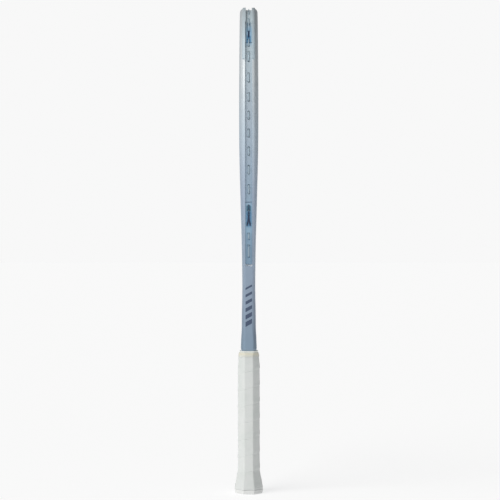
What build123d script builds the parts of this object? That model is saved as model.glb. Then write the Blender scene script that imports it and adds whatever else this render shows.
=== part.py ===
from build123d import *
import math
import os

# Tennis racket standing on its butt.  +Z runs up the length, the string bed lies in the XZ plane,
# X is across the head and Y is the beam (the thickness of the frame).  Origin: centre of the butt's
# bottom face.  Millimetres.

# ---------------------------------------------------------------- driving dimensions
TOTAL_LENGTH = 685.8          # 27 inches, butt face to the crest of the bumper guard
GUARD_RISE = 1.4              # how far the bumper guard stands above the frame
TUBE_WIDTH = 12.5             # frame tube across the head, in the plane of the strings
TUBE_CORNER = 5.5             # rounding of the tube's section
SHAFT_TUBE_WIDTH = 15.0       # the same tube where the two arms run side by side
HANDLE_TUBE_WIDTH = 11.6      # the same tube inside the handle
TUBE_BOND = 0.3               # how far each tube's flank is pressed flat where the two are bonded
WALL = 1.4                    # laminate thickness

# The oval is a chain of tangent arcs, turning clockwise from the tip (turn 0) past the side (turn 90)
# and down to the shoulder.  Each entry is the arc's centreline radius and the turn at its end.
HOOP_ARCS = [(156.0, 13.7), (94.0, 61.5), (241.0, 90.0), (265.0, 116.0), (100.0, 127.5)]
ARM_TURN = HOOP_ARCS[-1][1]
THROAT_RADIUS = 145.0         # reverse bend that brings the two arms together

# Where the tube's sections stand: turns on the oval, parts of the straight arm, turns of the reverse bend
HOOP_TURNS = [0, 7, 13.7, 21, 29, 37, 45, 53, 61.5, 70, 80, 90, 99, 108, 116, 122, ARM_TURN]
ARM_PARTS = [0.25, 0.5, 0.75, 1.0]
THROAT_TURNS = [118, 108.5, 99, 90]

# Beam (thickness in Y) against height: widest beside the middle of the head, slimmest in the throat
BEAM_STATIONS = [(205.0, 22.6), (240.0, 20.0), (295.0, 18.1), (350.0, 19.0), (414.0, 22.4),
                 (470.0, 25.0), (530.0, 26.0), (610.0, 25.4), (678.0, 24.6)]
HANDLE_BEAM = 18.0            # beam of the shaft inside the handle
SHAFT_FLARE_Z = 196.5         # the shaft widens from here
SHAFT_FULL_Z = 205.0          # to its full section here

# Throat bridge: it carries the oval on below the strings, from the shoulders to the axis
BRIDGE_Z = 341.5              # its centreline on the racket's axis
BRIDGE_ARCS = [(60.0, 160.0), (160.0, 180.0)]
BRIDGE_WIDTH = 10.5
BRIDGE_BEAM = 16.5
BRIDGE_CHANNEL_END = 160.0    # turn at which the bridge's own channel stops
BRIDGE_STRIP_END = 160.5
BRIDGE_CORNER = 4.5
BRIDGE_TIP_Z = 368.5          # its feathered ends are trimmed here

# String channel and the moulded strips that line it; offsets are outwards from the centreline
CHANNEL_WIDTH = 9.6
CHANNEL_FLOOR = 3.05
BRIDGE_CHANNEL_WIDTH = 7.6
BRIDGE_CHANNEL_FLOOR = 2.6
STRIP_GAP = 0.1               # clearance between a strip and each channel wall
STRIP_THICKNESS = 1.2
JOINT_GAP = 0.3               # angular gap between neighbouring strips, degrees
GUARD_WIDTH = 17.6
GUARD_GROOVE = 8.4            # string groove between the guard's rails
RAIL_ROUND = 1.3              # rounding of the guard's two rails
BARREL_RADIUS = 1.65
BARREL_BORE_RADIUS = 1.05
BARREL_STAND_OUT = 1.6        # how far a grommet barrel shows inside the hoop
HOLE_RADIUS = 1.75            # holes drilled through the frame for the barrels
MOUTH_RADIUS = 1.75           # the bore opens out at its mouth, where the string turns
MOUTH_DEPTH = 0.7
MOUTH_LENGTH = 4.0
RIM_DEPTH = 0.2               # a barrel's rim lies this far below its strip's surface
HOLE_RUN_OUT = 4.0            # the drill runs on this far past a mouth
BORE_CHANNEL_LAP = 1.0        # the channel's wall inside the bridge reaches this much further, in degrees
RAIL_OVERRUN = 5.0            # cuts for the guard's rails run on this much further, in degrees

# Turns at which the strips end
GUARD_BASE_END = 43.0
UPPER_INSERT_END = 63.0
GUARD_RAIL_END = 69.0
SIDE_STRIP_END = 112.5
LOWER_INSERT_END = 124.5
SHOULDER_RUN = 66.0           # how far the shoulder strip runs down the straight arm

# Strings
STRING_RADIUS = 0.65
WEAVE = 0.66                  # distance of each string's centreline from the bed's plane at a crossing
WEAVE_BEND = 10.0             # radius of the bend over a crossing
LOOP_BEND = 1.2               # radius where a string turns into the channel
LOOP_CLEARANCE = 0.3
MAIN_COUNT = 8                # mains on each side of the axis
BRIDGE_MAINS = 5              # of those, how many pass through the bridge
CROSS_COUNT = 19
MAIN_PITCH = 10.0
MAIN_SPREAD = 0.178           # how fast the mains' pitch opens towards the sides
CROSS_CENTRE_Z = 506.0
CROSS_REACH = 107.0
CROSS_SPREAD_HIGH = 16.0       # how fast the crosses' pitch opens towards the tip
CROSS_SPREAD_LOW = 8.5        # and towards the throat
PAIR_SHIFT = 1.3              # the two holes of a cross-string loop lie this much closer together
TIE_X = 79.0                  # tie-off holes for the main string
TIE_HIGH_Z = 619.8            # tie-off hole where the cross string starts
TIE_LOW_Z = 397.6             # tie-off hole where the cross string ends
KNOT_RADIUS = 1.7
KNOT_GAP = 0.1                # between a knot and the barrel it rests against
WEAVE_RISE = 0.06             # a bend passes this far inside its corner
BARREL_ENTRY = 2.0            # how deep in a barrel a string settles onto the bed's plane

# Handle: an octagon, wider across the face than through the beam
GRIP_ASPECT = 1.09            # width over thickness
GRIP_BEVEL = 0.305            # diagonal bevel over thickness
GRIP_EDGE = 0.07              # rounding of the bevels' edges over thickness
GRIP_WALL = 1.6
GRIP_PROFILE = [(6.0, 39.6), (9.0, 40.1), (17.5, 36.6), (26.0, 33.6), (31.0, 31.8), (45.0, 31.5),
                (178.0, 31.3), (188.0, 30.3), (196.0, 28.2), (202.0, 27.2)]
CAP_RIM_Z = 6.0               # the wrap stops here and leaves the cap's rim bare
CAP_TOP_Z = 31.0
CAP_BASE_THICKNESS = 36.8
CAP_EASE_Z = 1.5              # the cap's bottom edge is eased up to here
CAP_EASE_THICKNESS = 38.6
CAP_WALL = 1.2
CAP_FLOOR = 3.0
GRIP_TOP_Z = 196.0
PALLET_TOP_Z = 201.5          # above the wrap the pallets round off to meet the shaft
PALLET_TOP_THICKNESS = 25.4
PALLET_TOP_BEVEL = 0.2
WELL_GAP = 0.1                # room between the shaft and the pallets
TAPE_BOTTOM_Z = 193.3
TAPE_TOP_Z = 199.3
TAPE_THICKNESS = 0.45
TAPE_TOP_THICKNESS = 26.2
TAPE_TOP_BEVEL = 0.24
BADGE_RADIUS = 11.0
BADGE_THICKNESS = 1.2
BADGE_RECESS = 0.4
BADGE_CHAMFER = 0.3
SHAFT_BOTTOM_Z = 5.0
WEIGHT_LENGTH = 28.0
WEIGHT_SET_IN = 3.0
WEIGHT_GAP = 0.1              # room between a weight and the bore
STAPLE_Z = 19.0
STAPLE_CROWN = 10.0
STAPLE_WIRE = 0.9
STAPLE_LEG = 6.0

# ---------------------------------------------------------------- sizes that follow from these
TIP_Z = TOTAL_LENGTH - GUARD_RISE - TUBE_WIDTH / 2
STRIP_WIDTH = CHANNEL_WIDTH - 2 * STRIP_GAP
STRIP_TOP = CHANNEL_FLOOR + STRIP_THICKNESS
BRIDGE_STRIP_TOP = BRIDGE_CHANNEL_FLOOR + STRIP_THICKNESS
LOOP_RISE = STRING_RADIUS + LOOP_CLEARANCE
STAND_OUT = TUBE_WIDTH / 2 + BARREL_STAND_OUT
BRIDGE_STAND_OUT = BRIDGE_WIDTH / 2 + BARREL_STAND_OUT
CHANNEL_TOP = TUBE_WIDTH          # cuts for the channel end well outside the tube
CHANNEL_RUN = SHOULDER_RUN + 1.0
GUARD_TOP = TUBE_WIDTH / 2 + GUARD_RISE
MATCH = 0.01                      # tolerance when edges are picked by their size

os.makedirs("parts", exist_ok=True)


# ---------------------------------------------------------------- the centreline, in (x, z)
def normal_at(turn):
    """Outward normal of the oval at a turn."""
    return Vector(math.sin(math.radians(turn)), math.cos(math.radians(turn)))


def tangent_at(turn):
    """Direction of travel at a turn, away from the tip."""
    return Vector(math.cos(math.radians(turn)), -math.sin(math.radians(turn)))


def arc_chain(arcs, start_turn, start_centre):
    """Centre, radius, first and last turn of each arc of a chain whose arcs meet tangentially."""
    chain = []
    centre = start_centre
    turn = start_turn
    previous_radius = arcs[0][0]
    for radius, end_turn in arcs:
        centre = centre + normal_at(turn) * (previous_radius - radius)
        chain.append((centre, radius, turn, end_turn))
        previous_radius = radius
        turn = end_turn
    return chain


HOOP = arc_chain(HOOP_ARCS, 0.0, Vector(0, TIP_Z - HOOP_ARCS[0][0]))
ARM_START = HOOP[-1][0] + normal_at(ARM_TURN) * HOOP[-1][1]
SHAFT_TUBE_X = SHAFT_TUBE_WIDTH / 2 - TUBE_BOND
HANDLE_TUBE_X = HANDLE_TUBE_WIDTH / 2 - TUBE_BOND
THROAT_DRIFT = THROAT_RADIUS * (1 - math.sin(math.radians(ARM_TURN)))
ARM_LENGTH = (ARM_START.X - SHAFT_TUBE_X - THROAT_DRIFT) / -tangent_at(ARM_TURN).X
ARM_END = ARM_START + tangent_at(ARM_TURN) * ARM_LENGTH
THROAT_CENTRE = ARM_END + normal_at(ARM_TURN) * THROAT_RADIUS

BRIDGE_AXIS_CENTRE = Vector(0, BRIDGE_Z + BRIDGE_ARCS[1][0])
BRIDGE_RADIUS_STEP = BRIDGE_ARCS[1][0] - BRIDGE_ARCS[0][0]
BRIDGE_SIDE_CENTRE = BRIDGE_AXIS_CENTRE + normal_at(BRIDGE_ARCS[0][1]) * BRIDGE_RADIUS_STEP
BRIDGE = [(BRIDGE_SIDE_CENTRE, BRIDGE_ARCS[0][0], ARM_TURN, BRIDGE_ARCS[0][1]),
          (BRIDGE_AXIS_CENTRE, BRIDGE_ARCS[1][0], BRIDGE_ARCS[0][1], BRIDGE_ARCS[1][1])]


def arm_point(run, offset):
    """Point so far down the straight arm, and so far outside its centreline."""
    return ARM_START + tangent_at(ARM_TURN) * run + normal_at(ARM_TURN) * offset


def chain_point(chain, turn, offset):
    """Point of a chain of arcs at a turn, so far outside the centreline."""
    for centre, radius, start, end in chain:
        if start <= turn <= end:
            return centre + normal_at(turn) * (radius + offset)


def point_at(turn, offset):
    """Point of the hoop at a turn, so far outside the centreline."""
    return chain_point(HOOP, turn, offset)


def height_on(chain, offset, x, low):
    """Height where a vertical string at x meets the chain's offset curve, on its low or high half."""
    for centre, radius, start, end in chain:
        sine = (x - centre.X) / (radius + offset)
        if abs(sine) <= 1:
            turn = math.degrees(math.asin(sine))
            turn = 180 - turn if low else turn
            if start <= turn <= end:
                return centre.Y + normal_at(turn).Y * (radius + offset)
    arm = arm_point(0, offset)
    return arm.Y + (x - arm.X) * tangent_at(ARM_TURN).Y / tangent_at(ARM_TURN).X


def reach_at(offset, z):
    """Distance from the axis where a horizontal string at z meets the hoop's offset curve."""
    for centre, radius, start, end in HOOP:
        cosine = (z - centre.Y) / (radius + offset)
        if abs(cosine) <= 1 and start <= math.degrees(math.acos(cosine)) <= end:
            return centre.X + normal_at(math.degrees(math.acos(cosine))).X * (radius + offset)
    arm = arm_point(0, offset)
    return arm.X + (z - arm.Y) * tangent_at(ARM_TURN).X / tangent_at(ARM_TURN).Y


def beam_at(z):
    """Beam at a height, in proportion between two stations."""
    for (z0, beam0), (z1, beam1) in zip(BEAM_STATIONS, BEAM_STATIONS[1:]):
        if z <= z1:
            t = max(0.0, (z - z0) / (z1 - z0))
            return beam0 + (beam1 - beam0) * t
    return BEAM_STATIONS[-1][1]


def face_plane(side):
    """Plane of the strings, with its x axis towards one side of the head."""
    return Plane(origin=(0, 0, 0), x_dir=(side, 0, 0), z_dir=(0, -side, 0))


# ---------------------------------------------------------------- stations of the frame tube
def tube_stations():
    """Plane and width of each section of the tube, from the tip to the top of the handle."""
    stations = []
    for turn in HOOP_TURNS:
        stations.append((point_at(turn, 0), turn, TUBE_WIDTH))
    for part in ARM_PARTS:
        width = TUBE_WIDTH + (SHAFT_TUBE_WIDTH - TUBE_WIDTH) * part
        stations.append((arm_point(ARM_LENGTH * part, 0), ARM_TURN, width))
    for turn in THROAT_TURNS:
        stations.append((THROAT_CENTRE - normal_at(turn) * THROAT_RADIUS, turn, SHAFT_TUBE_WIDTH))
    return stations


def tube_plane(point, turn):
    normal = normal_at(turn)
    tangent = tangent_at(turn)
    return Plane(
        origin=(point.X, 0, point.Y), x_dir=(normal.X, 0, normal.Y), z_dir=(tangent.X, 0, tangent.Y)
    )


def tube_section(point, turn, width, beam, inset):
    """Section of the tube, drawn in by the inset."""
    with BuildSketch(tube_plane(point, turn)) as section:
        RectangleRounded(width - 2 * inset, beam - 2 * inset, TUBE_CORNER - inset)
    return section.sketch


def hoop_sections(inset):
    """Sections of one half of the frame, from the tip down to the throat."""
    return [
        tube_section(point, turn, width, beam_at(point.Y), inset) for point, turn, width in tube_stations()
    ]


SHOULDER_Z = THROAT_CENTRE.Y
SHAFT_STATIONS = [(SHOULDER_Z, SHAFT_TUBE_X, SHAFT_TUBE_WIDTH, beam_at(SHOULDER_Z)),
                  (SHAFT_FULL_Z, SHAFT_TUBE_X, SHAFT_TUBE_WIDTH, beam_at(SHAFT_FULL_Z)),
                  (SHAFT_FLARE_Z, HANDLE_TUBE_X, HANDLE_TUBE_WIDTH, HANDLE_BEAM),
                  (SHAFT_BOTTOM_Z, HANDLE_TUBE_X, HANDLE_TUBE_WIDTH, HANDLE_BEAM)]


def shaft_sections(inset):
    """Sections of one half of the shaft, from the throat down through the handle."""
    return [tube_section(Vector(x, z), 90, width, beam, inset) for z, x, width, beam in SHAFT_STATIONS]


# ---------------------------------------------------------------- frame: one hollow moulding
def band(side, chain, inner, outer, start, end, run=0.0):
    """Flat region between two offsets of the centreline, from turn to turn and then down the arm."""
    with BuildSketch(face_plane(side)) as region:
        with BuildLine():
            for offset in (inner, outer):
                for centre, radius, first, last in chain:
                    low = max(start, first)
                    high = min(end, last)
                    if high > low:
                        CenterArc((centre.X, centre.Y), radius + offset, 90 - high, high - low)
                if run:
                    Line(arm_point(0, offset), arm_point(run, offset))
            for turn in (start, end):
                if run and turn == end:
                    Line(arm_point(run, inner), arm_point(run, outer))
                else:
                    Line(chain_point(chain, turn, inner), chain_point(chain, turn, outer))
        make_face()
    return region.sketch


def cross_height(index):
    """Height of a cross string in the bed, counted from the tip."""
    u = ((CROSS_COUNT + 1) / 2 - index) / ((CROSS_COUNT - 1) / 2)
    spread = CROSS_SPREAD_HIGH if u > 0 else CROSS_SPREAD_LOW
    return CROSS_CENTRE_Z + CROSS_REACH * u + spread * u ** 3


def cross_hole_height(side, index):
    """Height of its hole: the two holes joined by a loop outside the frame are drawn together."""
    first_of_pair = (index % 2 == 0) if side > 0 else (index % 2 == 1)
    if not first_of_pair and index == 1:
        return cross_height(index)
    if first_of_pair and index == CROSS_COUNT:
        return cross_height(index)
    return cross_height(index) - PAIR_SHIFT if first_of_pair else cross_height(index) + PAIR_SHIFT


def main_reach(index):
    """Distance of a main string from the axis, counted from the axis."""
    return MAIN_PITCH * (index - 0.5) + MAIN_SPREAD * (index - 0.5) ** 2


class Port:
    """One string hole: where its barrel ends inside the hoop, its mouth, and the string's turning point."""

    def __init__(self, strip, inner, mouth, loop):
        self.strip = strip
        self.inner = inner
        self.mouth = mouth
        self.loop = loop
        self.way_out = (mouth - inner).normalized()

    def barrel_top(self):
        """End of the barrel: its whole rim lies just below the strip's surface, however slanted."""
        slant = math.acos(LOOP_RISE / (self.loop - self.mouth).length)
        return self.mouth - self.way_out * (BARREL_RADIUS * math.tan(slant) + RIM_DEPTH)


def high_port(x):
    strip = "guard" if x < point_at(GUARD_BASE_END, STRIP_TOP).X else "upper_insert"
    offsets = (-STAND_OUT, STRIP_TOP, STRIP_TOP + LOOP_RISE)
    heights = [height_on(HOOP, offset, x, False) for offset in offsets]
    return Port(strip, *[Vector(x, z) for z in heights])


def bridge_port(x):
    offsets = (-BRIDGE_STAND_OUT, BRIDGE_STRIP_TOP, BRIDGE_STRIP_TOP + LOOP_RISE)
    return Port("bridge", *[Vector(x, height_on(BRIDGE, offset, x, True)) for offset in offsets])


def shoulder_port(x):
    inner = max(height_on(BRIDGE, -BRIDGE_STAND_OUT, x, True), height_on(HOOP, -STAND_OUT, x, True))
    mouth = height_on(HOOP, STRIP_TOP, x, True)
    loop = height_on(HOOP, STRIP_TOP + LOOP_RISE, x, True)
    return Port("shoulder", Vector(x, inner), Vector(x, mouth), Vector(x, loop))


def side_port(z):
    if z > point_at(UPPER_INSERT_END, STRIP_TOP).Y:
        strip = "upper_insert"
    elif z > point_at(SIDE_STRIP_END, STRIP_TOP).Y:
        strip = "side"
    else:
        strip = "lower_insert"
    offsets = (-STAND_OUT, STRIP_TOP, STRIP_TOP + LOOP_RISE)
    return Port(strip, *[Vector(reach_at(offset, z), z) for offset in offsets])


MAIN_TOP = {k: high_port(main_reach(k)) for k in range(1, MAIN_COUNT + 1)}
MAIN_BOTTOM = {
    k: bridge_port(main_reach(k)) if k <= BRIDGE_MAINS else shoulder_port(main_reach(k))
    for k in range(1, MAIN_COUNT + 1)
}
MAIN_TIE = shoulder_port(TIE_X)
CROSS_PORTS = {
    side: {k: side_port(cross_hole_height(side, k)) for k in range(1, CROSS_COUNT + 1)} for side in (1, -1)
}
TIE_HIGH = side_port(TIE_HIGH_Z)
TIE_LOW = side_port(TIE_LOW_Z)


def ports_of(side):
    mains = list(MAIN_TOP.values()) + list(MAIN_BOTTOM.values())
    return mains + [MAIN_TIE, TIE_HIGH, TIE_LOW] + list(CROSS_PORTS[side].values())


def world(side, point, y=0.0):
    """A point of the (x, z) drawing on one side of the racket."""
    return Vector(side * point.X, y, point.Y)


def pin(side, start, end, radius, mode=Mode.ADD):
    """Round pin between two points of the drawing."""
    base = world(side, start)
    direction = world(side, end) - base
    with BuildSketch(Plane(origin=base, z_dir=direction)) as disc:
        Circle(radius)
    return extrude(disc.sketch, amount=direction.length, mode=mode)

# ---------------------------------------------------------------- strings
def straight_on(port, depth):
    """Point inside a barrel, so far from its inner end."""
    return port.inner + port.way_out * depth


def weave_height(column, index):
    """Side of the bed on which a main passes a cross."""
    return WEAVE + WEAVE_RISE if (column + index) % 2 else -(WEAVE + WEAVE_RISE)


# Mains counted from left to right: negative on the left of the axis
COLUMNS = [-k for k in range(MAIN_COUNT, 0, -1)] + list(range(1, MAIN_COUNT + 1))


def knot_centre(side, port):
    """Centre of the knot that rests against a barrel's inner end."""
    return world(side, straight_on(port, -(KNOT_RADIUS + KNOT_GAP)))


def main_route():
    """Corners of the main string, knot to knot, with the radius at each corner."""
    points = [knot_centre(-1, MAIN_TIE), world(-1, MAIN_TIE.loop)]
    radii = [LOOP_BEND]
    for column, signed in enumerate(COLUMNS):
        side = 1 if signed > 0 else -1
        index = abs(signed)
        top, bottom = MAIN_TOP[index], MAIN_BOTTOM[index]
        run = [
            (world(side, bottom.loop), LOOP_BEND),
            (world(side, straight_on(bottom, BARREL_ENTRY)), WEAVE_BEND),
        ]
        for k in range(CROSS_COUNT, 0, -1):
            if bottom.inner.Y < cross_height(k) < top.inner.Y:
                corner = Vector(side * main_reach(index), weave_height(column, k), cross_height(k))
                run.append((corner, WEAVE_BEND))
        run += [
            (world(side, straight_on(top, BARREL_ENTRY)), WEAVE_BEND),
            (world(side, top.loop), LOOP_BEND),
        ]
        if column % 2:
            run.reverse()
        points += [corner for corner, radius in run]
        radii += [radius for corner, radius in run]
    points += [world(1, MAIN_TIE.loop), knot_centre(1, MAIN_TIE)]
    radii.append(LOOP_BEND)
    return points, radii


def string_wire(points, radii):
    """Straight runs joined by tangent arcs, one arc for each inner corner."""
    edges = []
    start = points[0]
    for before, corner, after, radius in zip(points, points[1:], points[2:], radii):
        way_in = (corner - before).normalized()
        way_out = (after - corner).normalized()
        half_turn = math.radians(way_in.get_angle(way_out) / 2)
        setback = radius * math.tan(half_turn)
        inward = (way_out - way_in).normalized() * (radius / math.cos(half_turn) - radius)
        arc_start = corner - way_in * setback
        arc_end = corner + way_out * setback
        edges.append(Edge.make_line(start, arc_start))
        edges.append(Edge.make_three_point_arc(arc_start, corner + inward, arc_end))
        start = arc_end
    edges.append(Edge.make_line(start, points[-1]))
    return Wire(edges)


def cross_route():
    """Corners of the cross string, knot to knot, with the radius at each corner."""
    points = [knot_centre(1, TIE_HIGH), world(1, TIE_HIGH.loop)]
    radii = [LOOP_BEND]
    for k in range(1, CROSS_COUNT + 1):
        left, right = CROSS_PORTS[-1][k], CROSS_PORTS[1][k]
        run = [
            (world(-1, left.loop), LOOP_BEND),
            (world(-1, straight_on(left, BARREL_ENTRY)), WEAVE_BEND),
        ]
        for column, signed in enumerate(COLUMNS):
            side = 1 if signed > 0 else -1
            reach = main_reach(abs(signed))
            if reach < min(left.inner.X, right.inner.X):
                run.append((Vector(side * reach, -weave_height(column, k), cross_height(k)), WEAVE_BEND))
        run += [
            (world(1, straight_on(right, BARREL_ENTRY)), WEAVE_BEND),
            (world(1, right.loop), LOOP_BEND),
        ]
        if k % 2:
            run.reverse()
        points += [corner for corner, radius in run]
        radii += [radius for corner, radius in run]
    points += [world(-1, TIE_LOW.loop), knot_centre(-1, TIE_LOW)]
    radii.append(LOOP_BEND)
    return points, radii


def make_string(points, radii):
    """A whole string along its route, with a knot on each end."""
    wire = string_wire(points, radii)
    with BuildSketch(Plane(origin=points[0], z_dir=points[1] - points[0])) as section:
        Circle(STRING_RADIUS)
    sweep(section.sketch, path=wire)
    with Locations(points[0], points[-1]):
        Sphere(KNOT_RADIUS)


with BuildPart() as main_string:
    make_string(*main_route())

with BuildPart() as cross_string:
    make_string(*cross_route())


# ---------------------------------------------------------------- the tube and its bore
def both_halves():
    """Trim the half in hand at the racket's axis and mirror it."""
    split(bisect_by=Plane.YZ, keep=Keep.TOP)
    mirror(about=Plane.YZ)


with BuildPart() as half_tube:
    loft(hoop_sections(0.0))

with BuildPart() as outer_tube:
    add(half_tube.part)
    loft(shaft_sections(0.0), ruled=True)
    channel = band(1, HOOP, CHANNEL_FLOOR, CHANNEL_TOP, 0.0, ARM_TURN, CHANNEL_RUN)
    extrude(channel, amount=CHANNEL_WIDTH / 2, both=True, mode=Mode.SUBTRACT)
    both_halves()

with BuildPart() as tube_bore:
    loft(hoop_sections(WALL))
    loft(shaft_sections(WALL), ruled=True)
    channel_wall = band(1, HOOP, CHANNEL_FLOOR - WALL, CHANNEL_TOP, 0.0, ARM_TURN, CHANNEL_RUN + WALL)
    extrude(channel_wall, amount=CHANNEL_WIDTH / 2 + WALL, both=True, mode=Mode.SUBTRACT)
    mirror(about=Plane.YZ)


def drill(ports_by_side):
    """Clearance holes for the barrels, run on past each mouth."""
    for side, port in ports_by_side:
        beyond = port.mouth + port.way_out * HOLE_RUN_OUT
        pin(side, port.inner, beyond, HOLE_RADIUS)


HOOP_PORTS = [(side, port) for side in (1, -1) for port in ports_of(side) if port.strip != "bridge"]
LOW_PORTS = [(1, port) for port in [*MAIN_BOTTOM.values(), MAIN_TIE]]

with BuildPart() as hoop_holes:
    drill(HOOP_PORTS)

with BuildPart() as bridge_holes:
    drill(LOW_PORTS)

with BuildPart() as frame:
    add(outer_tube.part)
    add(tube_bore.part, mode=Mode.SUBTRACT)
    add(hoop_holes.part, mode=Mode.SUBTRACT)
frame.part.label = "frame"
export_step(frame.part, "parts/frame.step")


# ---------------------------------------------------------------- throat bridge
def half_bridge(inset):
    """One half of the bridge's tube, drawn in by the inset."""
    with BuildLine(Plane.XZ) as line:
        for centre, radius, first, last in BRIDGE:
            CenterArc((centre.X, centre.Y), radius, 90 - last, last - first)
    path = line.wires()[0]
    axis_end = Vector(0, 0, BRIDGE_Z)
    with BuildSketch(Plane(origin=axis_end, x_dir=(0, 1, 0), z_dir=(1, 0, 0))) as section:
        RectangleRounded(BRIDGE_BEAM - 2 * inset, BRIDGE_WIDTH - 2 * inset, BRIDGE_CORNER - inset)
    sweep(section.sketch, path=path)


def bridge_channel(floor, width, end_turn):
    """Open the bridge from a floor outwards, on one half."""
    slab = band(1, BRIDGE, floor, BRIDGE_WIDTH, end_turn, 180.0)
    extrude(slab, amount=width / 2, both=True, mode=Mode.SUBTRACT)


with BuildPart() as bridge_bore:
    half_bridge(WALL)
    wall_end = BRIDGE_CHANNEL_END - BORE_CHANNEL_LAP
    bridge_channel(BRIDGE_CHANNEL_FLOOR - WALL, BRIDGE_CHANNEL_WIDTH + 2 * WALL, wall_end)

with BuildPart() as throat_bridge:
    half_bridge(0.0)
    bridge_channel(BRIDGE_CHANNEL_FLOOR, BRIDGE_CHANNEL_WIDTH, BRIDGE_CHANNEL_END)
    add(bridge_bore.part, mode=Mode.SUBTRACT)
    add(half_tube.part, mode=Mode.SUBTRACT)
    add(bridge_holes.part, mode=Mode.SUBTRACT)
    split(bisect_by=Plane.XY.offset(BRIDGE_TIP_Z), keep=Keep.BOTTOM)
    mirror(about=Plane.YZ)
throat_bridge.part.label = "throat_bridge"
export_step(throat_bridge.part, "parts/throat_bridge.step")


# ---------------------------------------------------------------- strips in the string channel
def strip_ports(side, strip):
    return [port for port in ports_of(side) if port.strip == strip]


def barrels(side, ports):
    """Grommet barrels of one strip."""
    for port in ports:
        pin(side, port.inner, port.barrel_top(), BARREL_RADIUS)


def bores(side, ports):
    """Bore of each barrel, opened out at its mouth."""
    for port in ports:
        beyond = port.mouth + port.way_out * MOUTH_LENGTH
        pin(side, port.inner - port.way_out, beyond, BARREL_BORE_RADIUS, Mode.SUBTRACT)
        pin(side, port.mouth - port.way_out * MOUTH_DEPTH, beyond, MOUTH_RADIUS, Mode.SUBTRACT)


def make_strip(side, strip, start, end, run=0.0):
    """Moulded strip in the hoop's channel, with its barrels."""
    ports = strip_ports(side, strip)
    extrude(band(side, HOOP, CHANNEL_FLOOR, STRIP_TOP, start, end, run), amount=STRIP_WIDTH / 2, both=True)
    barrels(side, ports)
    bores(side, ports)


# Name, the ports it carries, its first and last turn, and how far it runs down the arm
STRIPS = [
    ("upper_accent_insert", "upper_insert", GUARD_BASE_END + JOINT_GAP, UPPER_INSERT_END - JOINT_GAP, 0.0),
    ("side_grommet_strip", "side", UPPER_INSERT_END, SIDE_STRIP_END, 0.0),
    ("lower_accent_insert", "lower_insert", SIDE_STRIP_END + JOINT_GAP, LOWER_INSERT_END, 0.0),
    ("shoulder_grommet_strip", "shoulder", LOWER_INSERT_END + JOINT_GAP, ARM_TURN, SHOULDER_RUN),
]

for name, strip, start, end, run in STRIPS:
    for side, side_name in ((1, "right"), (-1, "left")):
        with BuildPart() as piece:
            make_strip(side, strip, start, end, run)
        piece.part.label = name + "_" + side_name
        export_step(piece.part, "parts/" + name + "_" + side_name + ".step")

with BuildPart() as bridge_grommet_strip:
    for side in (1, -1):
        strip_base = band(side, BRIDGE, BRIDGE_CHANNEL_FLOOR, BRIDGE_STRIP_TOP, BRIDGE_STRIP_END, 180.0)
        extrude(strip_base, amount=BRIDGE_CHANNEL_WIDTH / 2 - STRIP_GAP, both=True)
    for side in (1, -1):
        barrels(side, strip_ports(side, "bridge"))
    for side in (1, -1):
        bores(side, strip_ports(side, "bridge"))
bridge_grommet_strip.part.label = "bridge_grommet_strip"
export_step(bridge_grommet_strip.part, "parts/bridge_grommet_strip.step")


# ---------------------------------------------------------------- bumper guard over the tip
def crest_edges(guard):
    """The arcs along the guard's outermost edges, on both of its flanks."""
    crest_radii = [radius + GUARD_TOP for centre, radius, first, last in HOOP]
    arcs = guard.edges().filter_by(GeomType.CIRCLE)
    arcs = arcs.filter_by(lambda edge: min(abs(edge.radius - radius) for radius in crest_radii) < MATCH)
    return arcs.filter_by(lambda edge: abs(abs(edge.center().Y) - GUARD_WIDTH / 2) < MATCH)


with BuildPart() as bumper_guard:
    for side in (1, -1):
        blank = band(side, HOOP, CHANNEL_FLOOR, GUARD_TOP, 0.0, GUARD_RAIL_END)
        extrude(blank, amount=GUARD_WIDTH / 2, both=True)
    fillet(crest_edges(bumper_guard), RAIL_ROUND)
    for side in (1, -1):
        groove = band(side, HOOP, STRIP_TOP, CHANNEL_TOP, 0.0, GUARD_BASE_END)
        extrude(groove, amount=GUARD_GROOVE / 2, both=True, mode=Mode.SUBTRACT)
        beyond_base = band(side, HOOP, 0.0, CHANNEL_TOP, GUARD_BASE_END, GUARD_RAIL_END + RAIL_OVERRUN)
        extrude(beyond_base, amount=CHANNEL_WIDTH / 2, both=True, mode=Mode.SUBTRACT)
    add(outer_tube.part, mode=Mode.SUBTRACT)
    for side in (1, -1):
        barrels(side, strip_ports(side, "guard"))
    for side in (1, -1):
        bores(side, strip_ports(side, "guard"))
bumper_guard.part.label = "bumper_guard"
export_step(bumper_guard.part, "parts/bumper_guard.step")


# ---------------------------------------------------------------- handle
def octagon(z, thickness, bevel=GRIP_BEVEL):
    """Section of the handle: a rectangle with its corners bevelled, and the bevels' edges eased."""
    with BuildSketch(Plane.XY.offset(z)) as section:
        Rectangle(thickness * GRIP_ASPECT, thickness)
        chamfer(section.vertices(), thickness * bevel)
        fillet(section.vertices(), thickness * GRIP_EDGE)
    return section.sketch


def grip_thickness(z):
    """Thickness of the wrapped handle at a height."""
    for (z0, thick0), (z1, thick1) in zip(GRIP_PROFILE, GRIP_PROFILE[1:]):
        if z0 <= z <= z1:
            return thick0 + (thick1 - thick0) * (z - z0) / (z1 - z0)


def grip_stations(bottom, top):
    """Heights and thicknesses of the wrapped handle between two heights."""
    between = [z for z, thickness in GRIP_PROFILE if bottom < z < top]
    return [(z, grip_thickness(z)) for z in [bottom, *between, top]]


def handle_loft(stations, inset=0.0, mode=Mode.ADD):
    """Solid of the handle through the stations, drawn in by the inset."""
    loft([octagon(z, thickness - 2 * inset) for z, thickness in stations], ruled=True, mode=mode)


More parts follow.
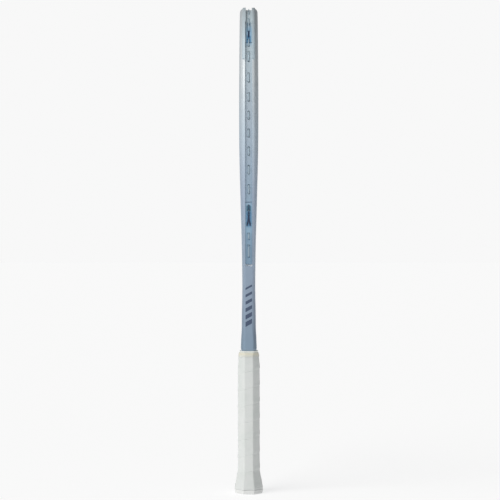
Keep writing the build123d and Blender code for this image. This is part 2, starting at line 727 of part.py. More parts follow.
def well_sections():
    """Sections of the room for the shaft inside the pallets, from the cap's floor to their top."""
    stations = [(CAP_FLOOR, HANDLE_TUBE_X, HANDLE_TUBE_WIDTH, HANDLE_BEAM), *reversed(SHAFT_STATIONS[1:3])]
    sections = []
    for z, tube_x, width, beam in stations:
        with BuildSketch(Plane.XY.offset(z)) as section:
            RectangleRounded(2 * tube_x + width + 2 * WELL_GAP, beam + 2 * WELL_GAP, TUBE_CORNER)
        sections.append(section.sketch)
    return sections


CAP_SEAT_THICKNESS = grip_thickness(CAP_TOP_Z) - 2 * (GRIP_WALL + CAP_WALL)
CAP_SEAT = [(CAP_FLOOR, CAP_SEAT_THICKNESS), (CAP_TOP_Z, CAP_SEAT_THICKNESS)]

with BuildPart() as butt_cap_staples:
    for side in (1, -1):
        crown_y = side * (grip_thickness(STAPLE_Z) / 2 - GRIP_WALL - STAPLE_WIRE)
        with Locations((0, crown_y, STAPLE_Z)):
            Box(STAPLE_CROWN, STAPLE_WIRE, STAPLE_WIRE)
        leg_x = (STAPLE_CROWN - STAPLE_WIRE) / 2
        leg_y = crown_y - side * STAPLE_LEG / 2
        with Locations((-leg_x, leg_y, STAPLE_Z), (leg_x, leg_y, STAPLE_Z)):
            Box(STAPLE_WIRE, STAPLE_LEG, STAPLE_WIRE)

with BuildPart() as balance_weights:
    drawn_in = WALL + WEIGHT_GAP
    for side in (1, -1):
        with BuildSketch(Plane.XY.offset(SHAFT_BOTTOM_Z + WEIGHT_SET_IN)) as section:
            with Locations((side * HANDLE_TUBE_X, 0)):
                RectangleRounded(
                    HANDLE_TUBE_WIDTH - 2 * drawn_in, HANDLE_BEAM - 2 * drawn_in, TUBE_CORNER - drawn_in
                )
        extrude(section.sketch, amount=WEIGHT_LENGTH)

with BuildPart() as pallet_block:
    handle_loft(CAP_SEAT)
    handle_loft(grip_stations(CAP_TOP_Z, GRIP_TOP_Z), GRIP_WALL)
    grip_top = octagon(GRIP_TOP_Z, grip_thickness(GRIP_TOP_Z) - 2 * GRIP_WALL)
    loft([grip_top, octagon(PALLET_TOP_Z, PALLET_TOP_THICKNESS, PALLET_TOP_BEVEL)], ruled=True)

for half, keep in (("front", Keep.TOP), ("back", Keep.BOTTOM)):
    with BuildPart() as pallet:
        add(pallet_block.part)
        loft(well_sections(), ruled=True, mode=Mode.SUBTRACT)
        add(butt_cap_staples.part, mode=Mode.SUBTRACT)
        split(bisect_by=Plane.XZ, keep=keep)
    pallet.part.label = "handle_pallet_" + half
    export_step(pallet.part, "parts/handle_pallet_" + half + ".step")

with BuildPart() as butt_cap:
    handle_loft([
        (0.0, CAP_BASE_THICKNESS), (CAP_EASE_Z, CAP_EASE_THICKNESS), (CAP_RIM_Z, grip_thickness(CAP_RIM_Z))
    ])
    handle_loft(grip_stations(CAP_RIM_Z, CAP_TOP_Z), GRIP_WALL)
    handle_loft(CAP_SEAT, mode=Mode.SUBTRACT)
    with Locations((0, 0, (BADGE_THICKNESS + BADGE_RECESS) / 2)):
        Cylinder(BADGE_RADIUS, BADGE_THICKNESS + BADGE_RECESS, mode=Mode.SUBTRACT)
    add(butt_cap_staples.part, mode=Mode.SUBTRACT)

with BuildPart() as butt_badge:
    with Locations((0, 0, BADGE_RECESS + BADGE_THICKNESS / 2)):
        Cylinder(BADGE_RADIUS, BADGE_THICKNESS)
    chamfer(butt_badge.edges().group_by(Axis.Z)[0], BADGE_CHAMFER)

with BuildPart() as base_grip:
    handle_loft(grip_stations(CAP_RIM_Z, GRIP_TOP_Z))
    handle_loft(grip_stations(CAP_RIM_Z, GRIP_TOP_Z), GRIP_WALL, Mode.SUBTRACT)

with BuildPart() as finishing_tape:
    handle_loft(grip_stations(TAPE_BOTTOM_Z, GRIP_TOP_Z), -TAPE_THICKNESS)
    tape_step = octagon(GRIP_TOP_Z, grip_thickness(GRIP_TOP_Z) + 2 * TAPE_THICKNESS)
    loft([tape_step, octagon(TAPE_TOP_Z, TAPE_TOP_THICKNESS, TAPE_TOP_BEVEL)], ruled=True)
    handle_loft(grip_stations(TAPE_BOTTOM_Z, GRIP_TOP_Z), mode=Mode.SUBTRACT)
    add(pallet_block.part, mode=Mode.SUBTRACT)


# ---------------------------------------------------------------- the remaining files
PIECES = {
    "main_string": main_string, "cross_string": cross_string, "butt_cap_staples": butt_cap_staples,
    "balance_weights": balance_weights, "butt_cap": butt_cap, "butt_badge": butt_badge,
    "base_grip": base_grip, "finishing_tape": finishing_tape,
}
for name, piece in PIECES.items():
    piece.part.label = name
    export_step(piece.part, "parts/" + name + ".step")
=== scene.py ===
import math

import bpy
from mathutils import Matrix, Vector


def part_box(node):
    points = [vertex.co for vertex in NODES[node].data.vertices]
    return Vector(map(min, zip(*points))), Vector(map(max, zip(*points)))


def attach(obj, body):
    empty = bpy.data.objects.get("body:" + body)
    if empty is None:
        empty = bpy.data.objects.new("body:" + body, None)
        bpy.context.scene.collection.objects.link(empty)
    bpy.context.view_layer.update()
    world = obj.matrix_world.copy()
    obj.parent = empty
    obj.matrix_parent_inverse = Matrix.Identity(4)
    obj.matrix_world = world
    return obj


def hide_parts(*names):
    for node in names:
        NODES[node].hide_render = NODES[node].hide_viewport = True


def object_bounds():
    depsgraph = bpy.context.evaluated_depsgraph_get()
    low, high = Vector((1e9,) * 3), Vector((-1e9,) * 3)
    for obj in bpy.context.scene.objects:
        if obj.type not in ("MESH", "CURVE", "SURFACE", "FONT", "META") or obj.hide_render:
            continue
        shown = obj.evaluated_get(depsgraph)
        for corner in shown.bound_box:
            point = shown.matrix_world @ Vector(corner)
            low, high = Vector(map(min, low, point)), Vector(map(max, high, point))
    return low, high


# Tennis racket standing on its butt, seen edge-on from +X.
# Metres; +Z up the length, X across the head, Y through the beam.
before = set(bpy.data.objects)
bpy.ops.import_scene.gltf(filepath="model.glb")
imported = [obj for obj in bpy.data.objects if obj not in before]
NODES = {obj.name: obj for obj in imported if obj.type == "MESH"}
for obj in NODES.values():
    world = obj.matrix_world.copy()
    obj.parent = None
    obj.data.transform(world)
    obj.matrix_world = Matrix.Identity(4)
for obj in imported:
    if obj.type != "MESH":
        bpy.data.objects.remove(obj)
CAD_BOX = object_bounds()
HEIGHT = CAD_BOX[1].z

# ---------------------------------------------------------------- driving values
CAMERA_DISTANCE = 2.2          # from the racket's axis, along +X
CAMERA_HEIGHT = 0.344
CAMERA_SIDE = 0.0017
VIEW_WIDTH = 0.7094            # width of what is seen at the racket's axis
SENSOR = 36.0
SUN_BEARING = 46.0             # degrees to the camera's left
SUN_HEIGHT = 40.0
SUN_SPREAD = 44.0
SUN_POWER = 1.85
AMBIENT_LEFT = 0.32            # what the surroundings give off to the camera's left
AMBIENT_RIGHT = 0.15           # and to its right
BACKDROP = 0.938               # how bright they look
FLOOR_GLOW = 0.735
FLOOR_TINT = 0.35
FLOOR_REACH = 40.0

# Slanted bars on the throat: heights above the floor, and each bar's share of the pitch
BAR_START = 0.238
BAR_PITCH = 0.0105
BAR_COUNT = 6
BAR_SHARE = 0.66
BAR_SHRINK = 0.075             # each bar's share is this much less than that of the bar below
BAR_SLANT = 0.55
BAR_HALF_WIDTH = 0.0046
BAR_FACING = 0.72              # how squarely a surface faces outwards to carry them

# String channel
CHANNEL_HALF_WIDTH = 0.0049
# heights of the painted highlight across the channel's lower end
CHANNEL_END = (0.3216, 0.3248)
CROWN_START = 0.0046           # beside the channel the tube's flank falls away towards the faces
CROWN = 95.0                   # how fast it falls away
CREVICE_REACH = 0.003
INSERT_LOOPS = (0.3846, 0.4060)   # heights where string loops lie on the lower insert, and carry painted shade
INSERT_OUTSIDE = 0.1010        # and how far out they lie

# Wrap of the handle: heights and thicknesses of the octagon that it follows, as on the CAD grip
GRIP_PROFILE = [(0.006, 0.0396), (0.009, 0.0401), (0.0175, 0.0366), (0.026, 0.0336), (0.031, 0.0318),
                (0.045, 0.0315), (0.178, 0.0313), (0.188, 0.0303), (0.196, 0.0282)]
GRIP_ASPECT = 1.09
GRIP_BEVEL = 0.305
GRIP_EDGE = 0.07
WRAP_PITCH = 0.0235
WRAP_THICKNESS = 0.0015
WRAP_STEP = 0.00050            # how far a turn's edge stands above the turn below
WRAP_ROW = 0.0005
FACET_STEPS = 6
CORNER_STEPS = 5


# ---------------------------------------------------------------- camera, light and floor
def make_camera():
    data = bpy.data.cameras.new("camera")
    data.sensor_width = SENSOR
    data.lens = SENSOR * CAMERA_DISTANCE / VIEW_WIDTH
    data.clip_start = 0.05
    data.clip_end = 100.0
    camera = bpy.data.objects.new("camera", data)
    camera.location = (CAMERA_DISTANCE, CAMERA_SIDE, CAMERA_HEIGHT)
    camera.rotation_euler = (math.radians(90), 0, math.radians(90))
    bpy.context.scene.collection.objects.link(camera)
    bpy.context.scene.camera = camera


def make_sun():
    data = bpy.data.lights.new("key", "SUN")
    data.energy = SUN_POWER
    data.angle = math.radians(SUN_SPREAD)
    data.color = (1.0, 0.985, 0.96)
    sun = bpy.data.objects.new("key", data)
    bearing = math.radians(SUN_BEARING)
    height = math.radians(SUN_HEIGHT)
    towards = Vector((
        math.cos(height) * math.cos(bearing), -math.cos(height) * math.sin(bearing), math.sin(height)
    ))
    sun.rotation_mode = "QUATERNION"
    sun.rotation_quaternion = towards.to_track_quat("Z", "Y")
    bpy.context.scene.collection.objects.link(sun)


def make_world():
    """Pale surroundings: they look white, and give off a soft light."""
    world = bpy.data.worlds.new("studio")
    bpy.context.scene.world = world
    world.use_nodes = True
    tree = world.node_tree
    back = tree.nodes["Background"]
    back.inputs["Color"].default_value = (0.94, 0.97, 1.0, 1.0)
    apart = tree.nodes.new("ShaderNodeSeparateXYZ")
    tree.links.new(tree.nodes.new("ShaderNodeTexCoord").outputs["Generated"], apart.inputs[0])
    across = tree.nodes.new("ShaderNodeMapRange")
    tree.links.new(apart.outputs["Y"], across.inputs["Value"])
    across.inputs["From Min"].default_value = -1.0
    across.inputs["To Min"].default_value = AMBIENT_LEFT
    across.inputs["To Max"].default_value = AMBIENT_RIGHT
    tree.links.new(across.outputs["Result"], back.inputs["Strength"])
    seen = tree.nodes.new("ShaderNodeBackground")
    seen.inputs["Color"].default_value = (1.0, 1.0, 1.0, 1.0)
    seen.inputs["Strength"].default_value = BACKDROP
    path = tree.nodes.new("ShaderNodeLightPath")
    mix = tree.nodes.new("ShaderNodeMixShader")
    tree.links.new(path.outputs["Is Camera Ray"], mix.inputs[0])
    tree.links.new(back.outputs[0], mix.inputs[1])
    tree.links.new(seen.outputs[0], mix.inputs[2])
    tree.links.new(mix.outputs[0], tree.nodes["World Output"].inputs["Surface"])


def make_floor():
    mesh = bpy.data.meshes.new("floor")
    corners = [(-1, -1), (1, -1), (1, 1), (-1, 1)]
    mesh.from_pydata([(x * FLOOR_REACH, y * FLOOR_REACH, 0) for x, y in corners], [], [(0, 1, 2, 3)])
    floor = bpy.data.objects.new("floor", mesh)
    bpy.context.scene.collection.objects.link(floor)
    material = bpy.data.materials.new("floor_white")
    material.use_nodes = True
    shader = material.node_tree.nodes["Principled BSDF"]
    shader.inputs["Base Color"].default_value = (FLOOR_TINT, FLOOR_TINT, FLOOR_TINT, 1.0)
    shader.inputs["Roughness"].default_value = 1.0
    shader.inputs["Specular IOR Level"].default_value = 0.0
    shader.inputs["Emission Color"].default_value = (1.0, 1.0, 1.0, 1.0)
    shader.inputs["Emission Strength"].default_value = FLOOR_GLOW
    mesh.materials.append(material)


# ---------------------------------------------------------------- shader helpers
class Shader:
    """A material's node tree, with short calls for what the materials below need."""

    def __init__(self, name, **sockets):
        self.material = bpy.data.materials.new(name)
        self.material.use_nodes = True
        self.tree = self.material.node_tree
        self.bsdf = self.tree.nodes["Principled BSDF"]
        for socket, value in sockets.items():
            self.bsdf.inputs[socket.replace("_", " ")].default_value = value
        self.place = self.node("ShaderNodeTexCoord").outputs["Object"]
        apart = self.node("ShaderNodeSeparateXYZ")
        self.link(self.place, apart.inputs[0])
        self.x, self.y, self.z = apart.outputs

    def node(self, kind, **values):
        made = self.tree.nodes.new(kind)
        for name, value in values.items():
            setattr(made, name, value)
        return made

    def link(self, source, target):
        self.tree.links.new(source, target)

    def math(self, operation, *values):
        """One Math node: each value is a number or a socket."""
        made = self.node("ShaderNodeMath", operation=operation)
        for place, value in enumerate(values):
            if isinstance(value, (int, float)):
                made.inputs[place].default_value = value
            else:
                self.link(value, made.inputs[place])
        return made.outputs[0]

    def between(self, value, low, high, soft):
        """1 where a value lies from low to high, easing off over a width."""
        rise = self.ramp_up(value, low, soft)
        fall = self.ramp_up(value, high, soft)
        return self.math("SUBTRACT", rise, fall)

    def ramp_up(self, value, at, soft):
        made = self.node("ShaderNodeMapRange", interpolation_type="SMOOTHSTEP")
        self.link(value, made.inputs["Value"])
        made.inputs["From Min"].default_value = at - soft / 2
        made.inputs["From Max"].default_value = at + soft / 2
        return made.outputs["Result"]

    def ramp(self, value, low, high, stops):
        """Colours along a value, from stops of (value, colour)."""
        made = self.node("ShaderNodeMapRange")
        self.link(value, made.inputs["Value"])
        made.inputs["From Min"].default_value = low
        made.inputs["From Max"].default_value = high
        colours = self.node("ShaderNodeValToRGB")
        self.link(made.outputs["Result"], colours.inputs["Fac"])
        elements = colours.color_ramp.elements
        while len(elements) < len(stops):
            elements.new(0.5)
        for element, (at, _) in zip(elements, stops):
            element.position = (at - low) / (high - low)
        for element, (_, colour) in zip(elements, stops):
            element.color = (*colour, 1.0)
        return colours.outputs["Color"]

    def mix(self, share, under, over, blend="MIX"):
        made = self.node("ShaderNodeMix", data_type="RGBA", blend_type=blend)
        for place, value in ((0, share), (6, under), (7, over)):
            if isinstance(value, (int, float)):
                made.inputs[place].default_value = value
            elif isinstance(value, tuple):
                made.inputs[place].default_value = (*value, 1.0)
            else:
                self.link(value, made.inputs[place])
        return made.outputs[2]

    def noise(self, scale, detail=2.0, stretch=(1, 1, 1)):
        """Noise over the object, with features 1/scale metres across."""
        mapping = self.node("ShaderNodeMapping")
        mapping.inputs["Scale"].default_value = stretch
        self.link(self.place, mapping.inputs["Vector"])
        made = self.node("ShaderNodeTexNoise")
        made.inputs["Scale"].default_value = scale
        made.inputs["Detail"].default_value = detail
        self.link(mapping.outputs[0], made.inputs["Vector"])
        return made.outputs["Fac"]

    def cells(self, scale):
        made = self.node("ShaderNodeTexVoronoi", feature="DISTANCE_TO_EDGE")
        made.inputs["Scale"].default_value = scale
        self.link(self.place, made.inputs["Vector"])
        return made.outputs["Distance"]

    def colour(self, value):
        self.link(value, self.bsdf.inputs["Base Color"])

    def vary(self, socket, value, low, high):
        """Drive a socket from a value in 0..1."""
        made = self.node("ShaderNodeMapRange")
        self.link(value, made.inputs["Value"])
        made.inputs["To Min"].default_value = low
        made.inputs["To Max"].default_value = high
        self.link(made.outputs["Result"], self.bsdf.inputs[socket])

    def crevice_shade(self, colour, reach, dark):
        """The colour, darkened in holes and seams where shade falls: painted shade, placed by an
        ambient occlusion node.
        """
        hollow = self.node("ShaderNodeAmbientOcclusion", samples=8)
        hollow.inputs["Distance"].default_value = reach
        open_share = self.ramp_up(hollow.outputs["AO"], 0.17, 0.22)
        return self.mix(open_share, dark, colour)

    def crown(self):
        """Height that falls away on both sides of the string channel, in metres."""
        aside = self.math("ABSOLUTE", self.y)
        beyond = self.math("MAXIMUM", self.math("SUBTRACT", aside, CROWN_START), 0.0)
        return self.math("MULTIPLY", self.math("POWER", beyond, 2.0), -CROWN)

    def bump(self, height, depth, strength=1.0):
        made = self.node("ShaderNodeBump")
        made.inputs["Strength"].default_value = strength
        made.inputs["Distance"].default_value = depth
        self.link(height, made.inputs["Height"])
        self.link(made.outputs["Normal"], self.bsdf.inputs["Normal"])

    def speckle(self, colour, scale, depth):
        """The colour, a little lighter and darker from place to place."""
        grey = self.ramp(self.noise(scale), 0.3, 0.7, [(0.3, (1 - depth,) * 3), (0.7, (1.0,) * 3)])
        return self.mix(1.0, colour, grey, "MULTIPLY")


# Colour of the lacquer from the shaft up to the tip
LACQUER = [(0.19, (0.235, 0.335, 0.44)), (0.27, (0.27, 0.35, 0.46)), (0.34, (0.30, 0.39, 0.50)),
           (0.42, (0.40, 0.49, 0.62)), (0.50, (0.60, 0.71, 0.81)), (0.58, (0.76, 0.82, 0.86)),
           (0.686, (0.70, 0.77, 0.80))]
STRIP_COLOURS = [(0.19, (0.20, 0.32, 0.46)), (0.30, (0.22, 0.35, 0.48)), (0.36, (0.27, 0.42, 0.56)),
                 (0.44, (0.36, 0.47, 0.58)), (0.52, (0.45, 0.53, 0.61)), (0.62, (0.50, 0.60, 0.66)),
                 (0.686, (0.48, 0.55, 0.58))]
PAINTED_SHADE_NAVY = (0.005, 0.022, 0.075)
AZURE = (0.09, 0.25, 0.43)
ICE = (0.30, 0.47, 0.62)
TEAL = (0.06, 0.19, 0.28)
PAINTED_SHADE_SLATE = (0.16, 0.27, 0.37)
CHANNEL_END_HIGHLIGHT = (0.93, 0.96, 1.0)
BAR_COLOUR = (0.05, 0.08, 0.15)
STRING_COLOUR = (0.42, 0.53, 0.60)
STRING_PAINTED_SHADE = (0.02, 0.06, 0.13)
# Colour of the painted shade in holes and seams
CREVICE_SHADE = (0.13, 0.18, 0.22)


def paint_accents(shader, base):
    """Blue flashes in the string channel: a navy core with azure beside it, and two legs that part. The
    ice, azure and teal are the inserts' paint; the navy cores are painted shade of the string holes,
    and the legs are painted shade along the channel's edges.
    """
    aside = shader.math("ABSOLUTE", shader.y)
    z = shader.z

    def patch(low, high, half, soft_z=0.002, soft_y=0.0008):
        along = shader.between(z, low, high, soft_z)
        across = shader.math("SUBTRACT", 1.0, shader.ramp_up(aside, half, soft_y))
        return shader.math("MULTIPLY", along, across)

    def legs(start, end, close, apart, half):
        """Two strokes, from close together at one height to apart at another."""
        spread = shader.node("ShaderNodeMapRange")
        shader.link(z, spread.inputs["Value"])
        spread.inputs["From Min"].default_value = start
        spread.inputs["From Max"].default_value = end
        spread.inputs["To Min"].default_value = close
        spread.inputs["To Max"].default_value = apart
        off_line = shader.math("ABSOLUTE", shader.math("SUBTRACT", aside, spread.outputs["Result"]))
        across = shader.math("SUBTRACT", 1.0, shader.ramp_up(off_line, half, 0.0006))
        along = shader.between(z, min(start, end), max(start, end), 0.002)
        return shader.math("MULTIPLY", across, along)

    colour = shader.mix(patch(0.6215, 0.6480, 0.0044, 0.010, 0.0030), base, ICE)
    colour = shader.mix(patch(0.6240, 0.6345, 0.0027, 0.004, 0.0018), colour, AZURE)
    # Painted shade: dark legs along the channel's edges and dark cores at the string holes.
    colour = shader.mix(legs(0.640, 0.655, 0.0015, 0.0020, 0.0007), colour, PAINTED_SHADE_SLATE)
    colour = shader.mix(patch(0.6317, 0.6420, 0.0012, 0.002, 0.0010), colour, PAINTED_SHADE_NAVY)
    colour = shader.mix(patch(0.3640, 0.4080, 0.0052, 0.014, 0.0030), colour, ICE)
    colour = shader.mix(patch(0.3754, 0.3965, 0.0036, 0.005, 0.0022), colour, AZURE)
    colour = shader.mix(patch(0.3963, 0.4038, 0.0030, 0.002, 0.0012), colour, TEAL)
    colour = shader.mix(patch(0.3846, 0.3956, 0.0013, 0.002, 0.0010), colour, PAINTED_SHADE_NAVY)
    return shader.mix(legs(0.3865, 0.3768, 0.0004, 0.0021, 0.0011), colour, PAINTED_SHADE_NAVY)


def lacquer_material():
    """Pearl paint under a clear coat, from icy white at the tip to steel blue at the shaft."""
    shader = Shader("pearl_lacquer", Metallic=0.10, Roughness=0.42, IOR=1.5, Coat_Weight=0.30,
                    Coat_Roughness=0.26)
    colour = shader.ramp(shader.z, 0.19, HEIGHT, LACQUER)
    colour = shader.speckle(colour, 2600.0, 0.03)
    colour = shader.speckle(colour, 60.0, 0.04)
    colour = paint_decal(shader, colour)
    # Painted highlight: near-white lacquer across the channel's lower end, lifting the shade that falls
    # in that gap.
    across = shader.math("LESS_THAN", shader.math("ABSOLUTE", shader.y), CHANNEL_HALF_WIDTH)
    end_highlight = shader.math("MULTIPLY", across, shader.between(shader.z, *CHANNEL_END, 0.0004))
    shader.colour(shader.mix(end_highlight, colour, CHANNEL_END_HIGHLIGHT))
    shader.vary("Roughness", shader.noise(900.0), 0.36, 0.48)
    ripple = shader.math("MULTIPLY", shader.noise(45.0, 1.0), 0.00003)
    shader.bump(shader.math("ADD", shader.crown(), ripple), 1.0)
    return shader.material


def paint_decal(shader, base):
    """Slanted navy bars on the outer sides of the throat, shorter towards the top."""
    normal = shader.node("ShaderNodeSeparateXYZ")
    geometry = shader.node("ShaderNodeNewGeometry")
    shader.link(geometry.outputs["Normal"], normal.inputs[0])
    outward = shader.math("MULTIPLY", normal.outputs[0], shader.math("SIGN", shader.x))
    facing = shader.ramp_up(outward, BAR_FACING, 0.08)
    slanted = shader.math("SUBTRACT", shader.z, shader.math("MULTIPLY", shader.y, BAR_SLANT))
    step = shader.math("DIVIDE", shader.math("SUBTRACT", slanted, BAR_START), BAR_PITCH)
    shrink = shader.math("MULTIPLY", shader.math("FLOOR", step), BAR_SHRINK)
    share = shader.math("SUBTRACT", BAR_SHARE, shrink)
    bar = shader.math("LESS_THAN", shader.math("FRACT", step), share)
    inside = shader.between(slanted, BAR_START, BAR_START + BAR_COUNT * BAR_PITCH, 0.0003)
    aside = shader.math("ABSOLUTE", shader.y)
    across = shader.math("SUBTRACT", 1.0, shader.ramp_up(aside, BAR_HALF_WIDTH, 0.0003))
    mask = shader.math("MULTIPLY", shader.math("MULTIPLY", bar, inside), across)
    return shader.mix(shader.math("MULTIPLY", mask, facing), base, BAR_COLOUR)


def strip_material(name, lighter):
    """Moulded nylon, tinted like the lacquer beside it."""
    shader = Shader(name, Roughness=0.42, IOR=1.5, Coat_Weight=0.12, Coat_Roughness=0.3)
    colour = shader.ramp(shader.z, 0.19, HEIGHT, [
        (z, tuple(min(1.0, share * lighter) for share in tint)) for z, tint in STRIP_COLOURS
    ])
    colour = shader.speckle(colour, 700.0, 0.06)
    # Painted shade: darker in the holes and seams of the strips, by ambient occlusion.
    shader.colour(shader.crevice_shade(paint_accents(shader, colour), CREVICE_REACH, CREVICE_SHADE))
    shader.vary("Roughness", shader.noise(500.0), 0.36, 0.50)
    grain = shader.math("MULTIPLY", shader.noise(2200.0), 0.00002)
    shader.bump(shader.math("ADD", shader.crown(), grain), 1.0)
    return shader.material


def string_material():
    """Ice-blue string, slightly see-through, with a fine grain."""
    shader = Shader("string_polymer", Roughness=0.28, IOR=1.5, Subsurface_Weight=0.15,
                    Subsurface_Scale=0.0006, Coat_Weight=0.3, Coat_Roughness=0.15)
    shader.bsdf.inputs["Subsurface Radius"].default_value = (1.0, 0.95, 0.85)
    # Painted shade: near black-navy where the string loops lie over the lower insert, continuing the
    # shade of the string hole there.
    outside = shader.ramp_up(shader.math("ABSOLUTE", shader.x), INSERT_OUTSIDE, 0.0010)
    hole_shade_share = shader.math("MULTIPLY", shader.between(shader.z, *INSERT_LOOPS, 0.002), outside)
    colour = shader.mix(hole_shade_share, STRING_COLOUR, STRING_PAINTED_SHADE)
    shader.colour(shader.speckle(colour, 1500.0, 0.08))
    shader.bump(shader.noise(2600.0, 3.0), 0.00003, 0.6)
    return shader.material


def wrap_material():
    """White cushioned grip: fine grain and soft shine."""
    shader = Shader("grip_wrap", Roughness=0.5, IOR=1.45, Sheen_Weight=0.08, Sheen_Roughness=0.4)
    white = shader.ramp(shader.noise(55.0, 3.0), 0.3, 0.7, [
        (0.3, (0.70, 0.735, 0.715)), (0.5, (0.74, 0.765, 0.75)), (0.7, (0.755, 0.775, 0.765))
    ])
    shader.colour(shader.speckle(white, 1800.0, 0.05))
    shader.vary("Roughness", shader.noise(250.0), 0.42, 0.58)
    grain = shader.math("ADD", shader.math("MULTIPLY", shader.cells(1150.0), 0.6), shader.noise(2600.0))
    shader.bump(grain, 0.00012, 0.45)
    return shader.material


def tape_material():
    """Cream finishing tape, with faint lengthwise stretch lines."""
    shader = Shader("finishing_tape", Roughness=0.4, IOR=1.45, Coat_Weight=0.2, Coat_Roughness=0.25)
    band = shader.ramp(shader.z, 0.193, 0.2, [
        (0.193, (0.74, 0.75, 0.70)), (0.1955, (0.74, 0.74, 0.66)), (0.1965, (0.76, 0.73, 0.60)),
        (0.1985, (0.78, 0.76, 0.65)), (0.2, (0.70, 0.73, 0.69))
    ])
    shader.colour(shader.speckle(band, 600.0, 0.05))
    shader.bump(shader.noise(500.0, 2.0, (1, 1, 7)), 0.00008, 0.5)
    return shader.material


def pallet_material():
    """Pale rigid foam with fine cells."""
    shader = Shader("pallet_foam", Roughness=0.6, IOR=1.45)
    shader.colour(shader.speckle(shader.mix(0.0, (0.84, 0.86, 0.82), (1.0, 1.0, 1.0)), 900.0, 0.10))
    shader.bump(shader.cells(1800.0), 0.0001, 0.6)
    return shader.material


def cap_material(name, tint, roughness):
    """Moulded butt cap rubberised plastic with a fine spark-eroded texture."""
    shader = Shader(name, Roughness=roughness, IOR=1.47)
    shader.colour(shader.speckle(shader.mix(0.0, tint, (1.0, 1.0, 1.0)), 400.0, 0.06))
    shader.vary("Roughness", shader.noise(700.0), roughness - 0.06, roughness + 0.08)
    shader.bump(shader.noise(3200.0, 2.0), 0.00005, 0.6)
    return shader.material


def badge_material():
    """Blue disc with turned rings."""
    shader = Shader("butt_badge", Roughness=0.3, IOR=1.5, Coat_Weight=0.4, Coat_Roughness=0.1)
    reach = shader.math("SQRT", shader.math("ADD", shader.math("POWER", shader.x, 2.0),
                                            shader.math("POWER", shader.y, 2.0)))
    rings = shader.math("SINE", shader.math("MULTIPLY", reach, 2 * math.pi / 0.0022))
    rim = shader.ramp_up(reach, 0.0086, 0.0002)
    colour = shader.mix(rim, (0.06, 0.13, 0.26), (0.62, 0.68, 0.72))
    shader.colour(shader.speckle(colour, 1200.0, 0.06))
    shader.bump(rings, 0.00008, 0.7)
    return shader.material


def metal_material():
    """Drawn steel wire."""
    shader = Shader("staple_steel", Metallic=1.0, Roughness=0.3)
    shader.colour(shader.speckle(shader.mix(0.0, (0.60, 0.60, 0.62), (1.0, 1.0, 1.0)), 1500.0, 0.15))
    shader.bump(shader.noise(900.0, 2.0, (1, 1, 12)), 0.00003, 0.6)
    return shader.material


def silicone_material():
    """Grey silicone poured into the shaft."""
    shader = Shader("silicone", Roughness=0.45, IOR=1.41, Subsurface_Weight=0.2, Subsurface_Scale=0.002)
    shader.colour(shader.speckle(shader.mix(0.0, (0.35, 0.37, 0.38), (1.0, 1.0, 1.0)), 150.0, 0.12))
    shader.bump(shader.noise(220.0, 3.0), 0.0003, 0.5)
    return shader.material


# ---------------------------------------------------------------- wrapped grip
def unit_outline():
    """Outline of the octagon for a thickness of 1: points with their share of the way round."""
    half_x = GRIP_ASPECT / 2
    half_y = 0.5
    cut = GRIP_BEVEL
    corners = [(half_x, -half_y + cut), (half_x, half_y - cut), (half_x - cut, half_y),
               (-half_x + cut, half_y), (-half_x, half_y - cut), (-half_x, -half_y + cut),
               (-half_x + cut, -half_y), (half_x - cut, -half_y)]
    corners = [Vector(corner) for corner in corners]
    setback = GRIP_EDGE * math.tan(math.radians(22.5))
    points = []
    for place, corner in enumerate(corners):
        way_in = (corner - corners[place - 1]).normalized()
        way_out = (corners[(place + 1) % 8] - corner).normalized()
        normal = Vector((way_in.y, -way_in.x))
        centre = corner - way_in * setback - normal * GRIP_EDGE
        start = math.atan2(normal.y, normal.x)
        for step in range(CORNER_STEPS + 1):
            turn = start + math.radians(45) * step / CORNER_STEPS
            points.append(centre + Vector((math.cos(turn), math.sin(turn))) * GRIP_EDGE)
        arc_end = corner + way_out * setback
        next_start = corners[(place + 1) % 8] - way_out * setback
        for step in range(1, FACET_STEPS):
            points.append(arc_end.lerp(next_start, step / FACET_STEPS))
    lengths = [0.0]
    for before, after in zip(points, points[1:] + points[:1]):
        lengths.append(lengths[-1] + (after - before).length)
    return [(point, length / lengths[-1]) for point, length in zip(points, lengths)]


def thickness_at(z):
    for (low, thick_low), (high, thick_high) in zip(GRIP_PROFILE, GRIP_PROFILE[1:]):
        if z <= high:
            return thick_low + (thick_high - thick_low) * (z - low) / (high - low)
    return GRIP_PROFILE[-1][1]


def eased(value):
    value = min(1.0, max(0.0, value))
    return value * value * (3 - 2 * value)


def wrap_depth(share, z):
    """How far below the CAD surface the wrap lies, a share of a turn above a turn's lower edge."""
    lip = eased(share / 0.030) * (1 - eased((share - 0.06) / 0.30))
    pillow = 0.25 * eased(share / 0.25) * eased((1 - share) / 0.10)
    return WRAP_STEP * (1 - max(lip, pillow))


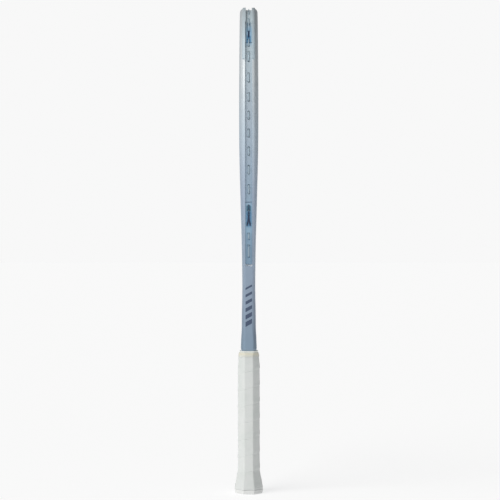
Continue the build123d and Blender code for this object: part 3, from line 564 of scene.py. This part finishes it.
def make_wrap():
    """The grip wound round the handle: each turn's lower edge laps over the turn below it."""
    low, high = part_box("base_grip")
    outline = unit_outline()
    rows = int(round((high.z - low.z) / WRAP_ROW))
    vertices = []
    for inner in (False, True):
        for row in range(rows + 1):
            z = low.z + (high.z - low.z) * row / rows
            thickness = thickness_at(z)
            ends = min(z - low.z, high.z - z)
            edge_round = 0.0005 * (1 - eased(ends / 0.0008))
            for point, way in outline:
                share = ((z - low.z) / WRAP_PITCH - way) % 1.0
                depth = WRAP_THICKNESS if inner else wrap_depth(share, z) + edge_round
                outer = point * thickness
                vertices.append((*(outer - outer.normalized() * depth), z))
    count = len(outline)
    layer = (rows + 1) * count
    faces = []
    for row in range(rows):
        for column in range(count):
            a = row * count + column
            b = row * count + (column + 1) % count
            faces.append((a, b, b + count, a + count))
            faces.append((layer + a, layer + a + count, layer + b + count, layer + b))
    for column in range(count):
        a, b = column, (column + 1) % count
        faces.append((a, layer + a, layer + b, b))
        top = rows * count
        faces.append((top + a, top + b, layer + top + b, layer + top + a))
    mesh = bpy.data.meshes.new("grip_wrap")
    mesh.from_pydata(vertices, [], faces)
    mesh.shade_smooth()
    mesh.materials.append(wrap_material())
    wrap = bpy.data.objects.new("grip_wrap", mesh)
    bpy.context.scene.collection.objects.link(wrap)
    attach(wrap, "root")
    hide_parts("base_grip")


# ---------------------------------------------------------------- materials on the CAD nodes
def dress(material, *names):
    for name in names:
        node = NODES[name]
        node.data.materials.clear()
        node.data.materials.append(material)


def dress_nodes():
    sides = ("left", "right")
    dress(lacquer_material(), "frame", "throat_bridge")
    parts = ("side_grommet_strip", "shoulder_grommet_strip", "upper_accent_insert",
             "lower_accent_insert")
    strips = [part + "_" + side for part in parts for side in sides]
    dress(strip_material("grommet_nylon", 1.0), *strips, "bridge_grommet_strip")
    dress(strip_material("guard_nylon", 1.16), "bumper_guard")
    dress(string_material(), "main_string", "cross_string")
    dress(pallet_material(), "handle_pallet_front", "handle_pallet_back")
    dress(cap_material("cap_rubber", (0.80, 0.81, 0.80), 0.5), "butt_cap")
    dress(badge_material(), "butt_badge")
    dress(metal_material(), "butt_cap_staples")
    dress(silicone_material(), "balance_weights")
    dress(tape_material(), "finishing_tape")


make_camera()
make_sun()
make_world()
make_floor()
dress_nodes()
make_wrap()
bpy.context.scene.view_settings.view_transform = "Standard"
